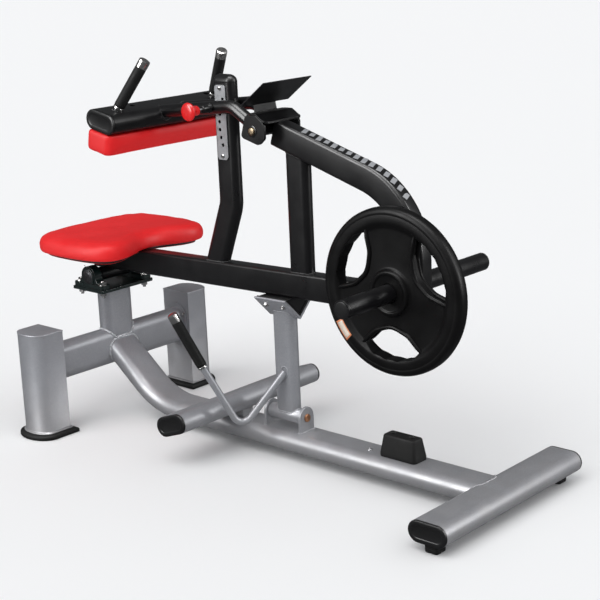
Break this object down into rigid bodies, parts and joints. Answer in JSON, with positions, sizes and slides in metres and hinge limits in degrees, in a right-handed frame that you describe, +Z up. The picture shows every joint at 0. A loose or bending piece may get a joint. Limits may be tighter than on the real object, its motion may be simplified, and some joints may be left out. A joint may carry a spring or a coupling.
{
  "type": "seated calf raise machine",
  "caption": "Plate-loaded seated calf raise: floor frame with foot rest, pivoting lever with seat, thigh pad arm, hand grips, weight horn with plate and swing-away support.",
  "frame": {"origin": "middle of the footprint, on the floor", "axes": "+X forward, the way the user faces; +Y to the user's left; +Z up"},
  "size_m": [1.6904, 0.7824, 1.1694],
  "materials": {
    "frame_paint": "silver-grey metallic powder coat",
    "lever_paint": "gloss black powder coat",
    "bearing_iron": "cast, dark green-black enamel",
    "shaft_steel": "ground and oiled",
    "pin_bronze": "turned, slightly dull",
    "black_rubber": "matt moulded",
    "cap_plastic": "fine moulded texture",
    "knob_plastic": "smooth moulded",
    "red_vinyl": "upholstery vinyl, fine grain, satin",
    "seat_ply": "plywood, black underside",
    "plate_coat": "matt black rubber-like coat",
    "strip_steel": "plated, satin"
  },
  "bodies": {
    "frame": {"base_beam": "frame_paint", "front_foot": "frame_paint", "front_foot_cap_left": "cap_plastic", "front_foot_cap_right": "cap_plastic", "front_foot_pad_left": "black_rubber", "front_foot_pad_right": "black_rubber", "rear_cross_tube": "frame_paint", "rear_post_left": "frame_paint", "rear_post_right": "frame_paint", "rear_foot_pad_left": "black_rubber", "rear_foot_pad_right": "black_rubber", "rear_upright": "frame_paint", "bearing_plate": "frame_paint", "pillow_block_left": "bearing_iron", "pillow_block_right": "bearing_iron", "foot_rest_tube": "frame_paint", "foot_rest_cap_left": "cap_plastic", "foot_rest_cap_right": "cap_plastic", "foot_rest_block": "frame_paint", "support_ear_front": "frame_paint", "support_ear_rear": "frame_paint", "support_hinge_pin": "pin_bronze", "bumper_block": "black_rubber"},
    "lever": {"pivot_shaft": "shaft_steel", "pivot_sleeve": "lever_paint", "lever_beam": "lever_paint", "curved_beam": "lever_paint", "weight_horn": "lever_paint", "brace_post": "lever_paint", "pad_post": "lever_paint", "pad_post_cap": "cap_plastic", "hole_strip": "strip_steel", "clevis_plate": "lever_paint", "clevis_ear_left": "lever_paint", "clevis_ear_right": "lever_paint", "arm_pivot_bolt": "pin_bronze", "placard": "lever_paint", "rest_wedge": "lever_paint", "seat_cushion": "red_vinyl", "seat_board": "seat_ply", "seat_bracket_left": "lever_paint", "seat_bracket_right": "lever_paint"},
    "pad_arm": {"arm_sleeve": "lever_paint", "arm_tube_left": "lever_paint", "arm_tube_right": "lever_paint", "pad_crossbar": "lever_paint", "pad_crossbar_cap_left": "cap_plastic", "pad_crossbar_cap_right": "cap_plastic", "thigh_pad_cushion": "red_vinyl", "hand_grip_left": "black_rubber", "hand_grip_right": "black_rubber", "pin_housing": "lever_paint"},
    "pull_pin": {"pull_knob": "knob_plastic"},
    "support": {"support_barrel": "frame_paint", "support_post": "frame_paint", "support_saddle": "frame_paint", "saddle_liner": "black_rubber", "release_bar": "frame_paint", "release_grip": "black_rubber"},
    "plate": {"weight_plate": "plate_coat"}
  },
  "joints": [
    {"name": "lever_pivot", "type": "hinge", "parent": "frame", "child": "lever", "pos_m": [-0.70825, 0, 0.4602], "axis": [0, -1, 0], "range_deg": [0, 15]},
    {"name": "support_swing", "type": "hinge", "parent": "frame", "child": "support", "pos_m": [0.04775, 0, 0.128], "axis": [1, 0, 0], "range_deg": [0, 22]},
    {"name": "pad_arm_height", "type": "hinge", "parent": "lever", "child": "pad_arm", "pos_m": [0.02475, 0, 0.968], "axis": [0, 1, 0], "range_deg": [-36.25, 7.25]},
    {"name": "pin_pull", "type": "slide", "parent": "pad_arm", "child": "pull_pin", "axis": [0, -1, 0], "range_m": [-0.012, 0.015], "stiffness_N_per_m": 400},
    {"name": "plate_slide", "type": "slide", "parent": "lever", "child": "plate", "axis": [0, -1, 0], "range_m": [-0.035, 0.28]}
  ],
  "couplings": [
    {"joint": "support_swing", "follows": "lever_pivot", "ratio": 1.4666}
  ]
}
